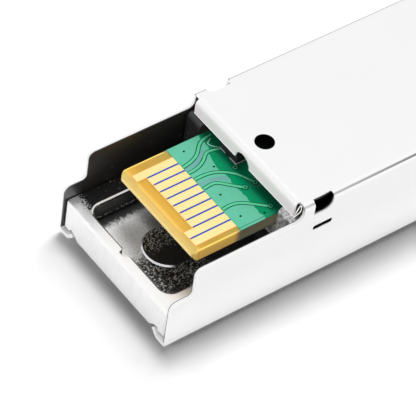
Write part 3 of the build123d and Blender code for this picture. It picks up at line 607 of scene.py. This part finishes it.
# Solder: white metal that froze with a soft grain
tin = plain("reflowed_tin", "#FFFFFF", "#E4E4E4", 0.35, 0.15, 0.002, 0.3)
# Bare copper round the gold: warm orange
copper = plain("bare_copper_edge", "#E8973A", "#EFA64C", 0.4, 0.2, 0.001)
# Resist ink between the contacts: strong blue and matt
blue_resist = plain("blue_resist_line", "#0848AC", "#0E52B6", 0.8, 0.2, 0.001,
                    Specular_IOR_Level=0.0)

finishes = {
    "sheet_cover": steel, "base_housing": zinc, "bail_handle": zinc, "latch_lever": zinc,
    "shielding_collar": spring, "latch_spring": spring, "bail_shaft": pin, "lever_pin": pin,
    "circuit_board": board, "solder_mask_upper": lacquer, "solder_mask_lower": lacquer,
    "contact_pads_upper": contact_gold, "contact_pads_lower": contact_gold,
    "driver_chip": epoxy, "memory_chip": epoxy, "controller_chip": epoxy,
    "capacitors": tan_ceramic, "resistors": black_ceramic, "ferrite_beads": ferrite,
    "thermal_pad": filler, "optical_body": turned, "receptacle_barrel": turned,
    "ceramic_sleeve": zirconia, "fibre_stub": zirconia, "laser_can": header,
    "detector_can": header, "laser_flex": film, "detector_flex": film, "optics_clamp": nylon,
}
for node_name, finish in finishes.items():
    nodes[node_name].data.materials.clear()
    nodes[node_name].data.materials.append(finish)


# Modelling

def deselect():
    """Leaves edit mode and deselects everything."""
    if bpy.context.object and bpy.context.object.mode != "OBJECT":
        bpy.ops.object.mode_set(mode="OBJECT")
    bpy.ops.object.select_all(action="DESELECT")


def pick(piece):
    """Makes a piece the only one selected."""
    deselect()
    piece.select_set(True)
    bpy.context.view_layer.objects.active = piece


def shade_smooth(piece, angle=40):
    """Shades a piece smooth over edges flatter than the angle in degrees."""
    pick(piece)
    bpy.ops.object.shade_smooth_by_angle(angle=math.radians(angle))
    return piece


def break_edges(piece, width):
    """Gives a piece's sharp edges a small round of this width, as real ones have."""
    shade_smooth(piece, 35)
    bevel = piece.modifiers.new("edge", "BEVEL")
    bevel.width = width * MM
    bevel.segments = 2
    bevel.limit_method = "ANGLE"
    bevel.angle_limit = math.radians(40)
    bevel.miter_outer = "MITER_ARC"
    bpy.ops.object.modifier_apply(modifier=bevel.name)
    shade_smooth(piece, 35)
    evened = piece.modifiers.new("normals", "WEIGHTED_NORMAL")
    evened.keep_sharp = True
    bpy.ops.object.modifier_apply(modifier=evened.name)


def choose_corners(piece, x, y, z):
    """In edit mode, selects the corners between two edges along each axis."""
    bpy.ops.mesh.select_all(action="DESELECT")
    bpy.ops.object.mode_set(mode="OBJECT")
    for vertex in piece.data.vertices:
        spot = in_mm(vertex.co)
        vertex.select = all(low < place < high for place, (low, high) in zip(spot, (x, y, z)))
    bpy.ops.object.mode_set(mode="EDIT")


def open_slots(piece):
    """Opens the cover's side slots: the near one as the photograph shows it, the far one twice."""
    longer, higher = 1.08, 1.6
    for sides, times in (((-9, -6.4), 2), ((6.4, 9), 1)):
        choose_corners(piece, x=sides, y=(slot_start, slot_end), z=(slot_low, slot_high))
        bpy.ops.transform.resize(value=(1, longer ** times, higher ** times),
                                 center_override=at(*slot_middle))


def deepen_notch(piece):
    """Moves the bottom of the tray's rim notch outwards, as deep as the photograph shows it."""
    sideways, outwards = -0.06 * MM, -0.16 * MM
    choose_corners(piece, x=(-0.45, 0.45), y=(0.4, 0.98), z=(tray_floor - 0.05, 99))
    bpy.ops.transform.translate(value=(sideways, outwards, 0))


def dress(node_name, width, body="housing", reshape=None):
    """A cleaned copy of a node with its sharp edges broken, which stands for it."""
    piece = bpy.data.objects.new(node_name + "_finished", nodes[node_name].data.copy())
    bpy.context.scene.collection.objects.link(piece)
    pick(piece)
    bpy.ops.mesh.customdata_custom_splitnormals_clear()
    bpy.ops.object.mode_set(mode="EDIT")
    bpy.ops.mesh.select_all(action="SELECT")
    bpy.ops.mesh.remove_doubles(threshold=1e-7)
    bpy.ops.mesh.dissolve_limited(angle_limit=math.radians(0.5))
    if reshape:
        bpy.ops.mesh.select_mode(type="VERT")
        reshape(piece)
    bpy.ops.object.mode_set(mode="OBJECT")
    break_edges(piece, width)
    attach(piece, body)
    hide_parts(node_name)
    return piece


def finish_piece(piece, name, finish):
    """Names a modelled piece, gives it its material and fixes it to the housing."""
    piece.name = name
    piece.data.name = name
    piece.data.materials.clear()
    piece.data.materials.append(finish)
    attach(piece, "housing")


def join(pieces):
    """Makes one piece of several."""
    deselect()
    for piece in pieces:
        piece.select_set(True)
    bpy.context.view_layer.objects.active = pieces[0]
    if len(pieces) > 1:
        bpy.ops.object.join()
    return bpy.context.object


def settle(piece):
    """Puts the piece's place, turn and size into its mesh."""
    pick(piece)
    bpy.ops.object.transform_apply(location=True, rotation=True, scale=True)
    return piece


def choose_top(piece):
    """Selects a piece's flat top in edit mode."""
    bpy.ops.object.mode_set(mode="EDIT")
    bpy.ops.mesh.select_all(action="DESELECT")
    bpy.ops.object.mode_set(mode="OBJECT")
    for face in piece.data.polygons:
        face.select = face.normal.z > 0.99
    bpy.ops.object.mode_set(mode="EDIT")


def round_top(piece, width):
    """Bevels the edges round a piece's flat top."""
    choose_top(piece)
    bpy.ops.mesh.region_to_loop()
    bpy.ops.mesh.bevel(offset=width * MM, segments=2)
    bpy.ops.object.mode_set(mode="OBJECT")


def slab(x, y, low, height):
    """A flat block between two edges along x and y, its top edges rounded."""
    round_width = 0.008
    corner, far_corner = at(x[0], y[0], low), at(x[1], y[1], low + height)
    deselect()
    bpy.ops.mesh.primitive_cube_add(
        size=1, location=(corner + far_corner) / 2, scale=far_corner - corner)
    piece = settle(bpy.context.object)
    round_top(piece, round_width)
    return piece


def disc(x, y, radius, height, sides=16):
    """A low disc that stands on the board, its top edge rounded."""
    deselect()
    bpy.ops.mesh.primitive_cylinder_add(
        vertices=sides, radius=radius * MM, depth=height * MM,
        location=at(x, y, board_face + height / 2))
    piece = settle(bpy.context.object)
    round_top(piece, 0.25 * height)
    return piece


def ring(x, y, radius, hole, height):
    """A ring pad: a low disc whose top rises a little and then sinks to the hole."""
    wall = radius - hole
    outer_share, rise = 0.3, 0.004
    inner_share, sink = 0.7, 0.7 * height
    piece = disc(x, y, radius, height, sides=24)
    choose_top(piece)
    bpy.ops.mesh.inset(thickness=outer_share * wall * MM, depth=rise * MM)
    bpy.ops.mesh.inset(thickness=inner_share * wall * MM, depth=-sink * MM)
    bpy.ops.object.mode_set(mode="OBJECT")
    return piece


def wire(points, width):
    """A round wire along a smooth line through module millimetres."""
    deselect()
    bpy.ops.curve.primitive_nurbs_path_add(location=(0, 0, 0))
    curve = bpy.context.object.data
    curve.splines.clear()
    spline = curve.splines.new("NURBS")
    spline.points.add(len(points) - 1)
    for control, point in zip(spline.points, points):
        control.co = (*at(*point), 1.0)
    spline.order_u = 3
    spline.use_endpoint_u = True
    spline.resolution_u = 6
    curve.dimensions = "3D"
    curve.twist_mode = "Z_UP"
    curve.bevel_mode = "ROUND"
    curve.bevel_depth = width / 2 * MM
    curve.bevel_resolution = 3
    curve.use_fill_caps = True
    bpy.ops.object.convert(target="MESH")
    return bpy.context.object


def ribbon(points, width, thickness):
    """A track that follows a smooth line on the board: a wire pressed flat."""
    pick(wire([(x, y, board_face) for x, y in points], width))
    bpy.ops.object.mode_set(mode="EDIT")
    bpy.ops.mesh.select_all(action="SELECT")
    flatten = thickness / (width / 2)
    bpy.ops.transform.resize(value=(1, 1, flatten), center_override=at(0, 0, board_face))
    bpy.ops.object.mode_set(mode="OBJECT")
    return bpy.context.object


# Finished copies of the nodes that show, with broken edges
dress("sheet_cover", 0.05, reshape=open_slots)
dress("base_housing", 0.05, reshape=deepen_notch)
dress("circuit_board", 0.04)
dress("contact_pads_upper", 0.015)
dress("contact_pads_lower", 0.015)
dress("bail_handle", 0.12, "bail")
dress("latch_lever", 0.05, "latch")

# The spring stands on the head, under the lever, with a mesh of its own
pressed = dress("latch_spring", 0.02)
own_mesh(pressed)

# Sliver of the cover's sheet, curled up in the near bend relief
sliver_width = 0.09
sliver = [(6.14, 11.02, 7.2), (6.2, 11.16, 7.62), (6.21, 11.34, 8.05), (6.23, 11.46, 8.3),
          (6.34, 11.5, 8.15), (6.37, 11.46, 7.82), (6.3, 11.24, 7.55), (6.22, 11.0, 7.25)]
finish_piece(shade_smooth(wire(sliver, sliver_width)), "relief_sliver", burr)

# Printing on the board's upper face: copper lines and bands under the lacquer
tracks = [
    [(-2.55, mask_start), (-2.62, 8.3), (-3.02, 9.3), (-3.75, 9.95), (-4.12, 10.6), (-4.2, 11.4)],
    [(-1.87, mask_start), (-1.9, 8.5), (-2.35, 9.4), (-2.85, 9.9), (-2.9, 10.5), (-2.6, 11.3)],
    [(-1.13, mask_start), (-1.18, 8.5), (-0.95, 9.5), (-0.4, 10.3), (0.3, 10.9), (1.36, 11.32)],
    [(-0.05, mask_start), (-0.15, 8.3), (-0.1, 8.85), (0.5, 9.45), (1.1, 10.05), (1.4, 10.39)],
    [(2.3, mask_start), (2.18, 8.4), (2.4, 9.15), (2.85, 9.75), (3.4, 10.35), (3.83, 10.87)],
]
bands = [
    [(-2.14, mask_start), (-2.26, 8.58), (-2.75, 9.27), (-3.1, 9.98)],
    [(-0.57, mask_start), (-0.55, 8.35), (-0.42, 9.1), (0.0, 9.85)],
]
for name, lines, finish, width, thickness in (
        ("printed_tracks", tracks, track, 0.23, 0.03),
        ("printed_track_edges", tracks, track_shade_line, 0.35, 0.012),
        ("printed_bands", bands, ground_band, 0.36, 0.008)):
    printed = join([ribbon(line, width, thickness) for line in lines])
    finish_piece(shade_smooth(printed), name, finish)

# Printed corner of the small chip's outline
outline = [(-3.88, 11.15), (-3.69, 10.7), (-3.44, 10.62), (-3.1, 10.84), (-2.88, 11.11)]
printed = ribbon(outline, width=0.07, thickness=0.01)
finish_piece(shade_smooth(printed), "chip_outline", ink)

# Via holes, and ring pads with a painted shade edge and a dark middle
vias = [(-3.82, 8.64), (-1.45, 9.65), (1.04, 8.39), (3.47, 8.4), (4.11, 10.1)]
rings = [(-0.58, 10.94), (1.36, 11.31), (1.38, 10.38), (3.81, 10.87)]
via_radius = 0.085
edge_radius, ring_radius, ring_hole = 0.275, 0.2, 0.08
holes = join([disc(x, y, via_radius, height=0.012) for x, y in vias])
finish_piece(shade_smooth(holes), "via_holes", via_hole)
edges = join([ring(x, y, edge_radius, ring_radius, height=0.02) for x, y in rings])
finish_piece(shade_smooth(edges), "ring_pad_edges", track_shade_line)
pads = join([ring(x, y, ring_radius, ring_hole, height=0.034) for x, y in rings])
finish_piece(shade_smooth(pads), "ring_pads", ring_pad)
middles = join([disc(x, y, ring_hole, height=0.032) for x, y in rings])
finish_piece(shade_smooth(middles), "ring_pad_middles", via_hole)

# Solder at the feet of the small chip under the lip: two along its rear, one round the side
chip_low, chip_high = box_in_mm("memory_chip")
foot = 0.055
left_length, right_length, side_length = 0.7, 0.75, 1.0
rear = (chip_low.y - foot, chip_low.y)
beside = (chip_high.x, chip_high.x + foot)
feet = [
    slab((chip_low.x, chip_low.x + left_length), rear, board_face, foot),
    slab((chip_high.x - right_length, chip_high.x + foot), rear, board_face, foot),
    slab(beside, (chip_low.y, chip_low.y + side_length), board_face, foot),
]
finish_piece(join(feet), "chip_feet", tin)

# Copper edge round each contact, and the blue resist line in each gap between two
pads_low, pads_high = box_in_mm("contact_pads_upper")
copper_edge = 0.045
copper_height = 0.02
resist_height = 0.035
gap_half = 0.07
gap_setback = 0.12                # the line starts this far behind the shorter contact's end
contact_edges = []
gap_lines = []
last_start = None
for i in range(pad_count):
    middle = pad_offset + (i - (pad_count - 1) / 2) * pad_pitch
    start = pads_low.y if i in long_pads else pads_low.y + pad_short_step
    half = pad_width / 2 + copper_edge
    contact_edges.append(slab((middle - half, middle + half),
                              (start - copper_edge, pads_high.y + 0.01),
                              pads_low.z, copper_height))
    if last_start is not None:
        gap = middle - pad_pitch / 2
        gap_lines.append(slab((gap - gap_half, gap + gap_half),
                              (max(start, last_start) + gap_setback, pads_high.y),
                              pads_low.z, resist_height))
    last_start = start
finish_piece(join(contact_edges), "contact_copper_edges", copper)
finish_piece(join(gap_lines), "contact_gap_lines", blue_resist)


# Camera, floor and light

bpy.ops.object.camera_add(location=camera_place)
camera = bpy.context.object
view_axis = (camera_aim - camera_place).normalized()
camera.rotation_mode = "QUATERNION"
camera.rotation_quaternion = (
    Quaternion(view_axis, -camera_roll) @ view_axis.to_track_quat("-Z", "Y"))
camera.data.lens = camera_lens
camera.data.sensor_width = camera_picture
camera.data.clip_start = 0.01
camera.data.clip_end = 10
bpy.context.scene.camera = camera

# A world of plain white for the eye and for the first mirror image, and dim as a lamp
world = bpy.data.worlds.new("studio")
bpy.context.scene.world = world
world.use_nodes = True
sky = world.node_tree
sky.nodes.clear()
rays = add(sky, "LightPath", {})
first_mirror = add(sky, "Math", {0: rays.outputs["Is Glossy Ray"],
                                 1: rays.outputs["Diffuse Depth"]}, operation="GREATER_THAN")
seen_white = combined(sky, rays.outputs["Is Camera Ray"], first_mirror,
                      rays.outputs["Is Transmission Ray"])
lamp_light = add(sky, "Background", {"Color": linear("#FFFFFF"), "Strength": 0.14})
seen_light = add(sky, "Background", {"Color": linear("#FFFFFF"), "Strength": 1.0})
add(sky, "OutputWorld", {
    "Surface": add(sky, "MixShader", {0: seen_white, 1: lamp_light, 2: seen_light})})

# Floor of matt white paper, which shows only the module's soft shadow
bpy.ops.mesh.primitive_plane_add(size=3, location=(0, 0, frame_low.z))
studio_floor = bpy.context.object
studio_floor.name = "studio_floor"
studio_floor.data.materials.append(material("matt_white_paper", "#EFEFEF", 0.9)[0])


def softbox(name, place, size, power, mirrored=False):
    """A soft square lamp that faces the module's rear half, in metres and watts."""
    bpy.ops.object.light_add(type="AREA", location=place)
    lamp = bpy.context.object
    lamp.name = name
    lamp.data.size = size
    lamp.data.energy = power
    lamp.rotation_mode = "QUATERNION"
    aim = Vector((0, -0.015, 0.004))
    lamp.rotation_quaternion = (aim - Vector(place)).to_track_quat("-Z", "Y")
    lamp.visible_glossy = mirrored


softbox("key_light", place=(-0.09, 0.1, 0.48), size=0.2, power=1.9)
softbox("back_light", place=(-0.1, 0.34, 0.34), size=0.3, power=1.3)
softbox("front_fill_light", place=(-0.02, -0.4, 0.16), size=0.24, power=0.4)
softbox("overhead_light", place=(-0.03, 0.02, 0.6), size=0.2, power=0.35, mirrored=True)

view = bpy.context.scene.view_settings
view.view_transform = "Standard"
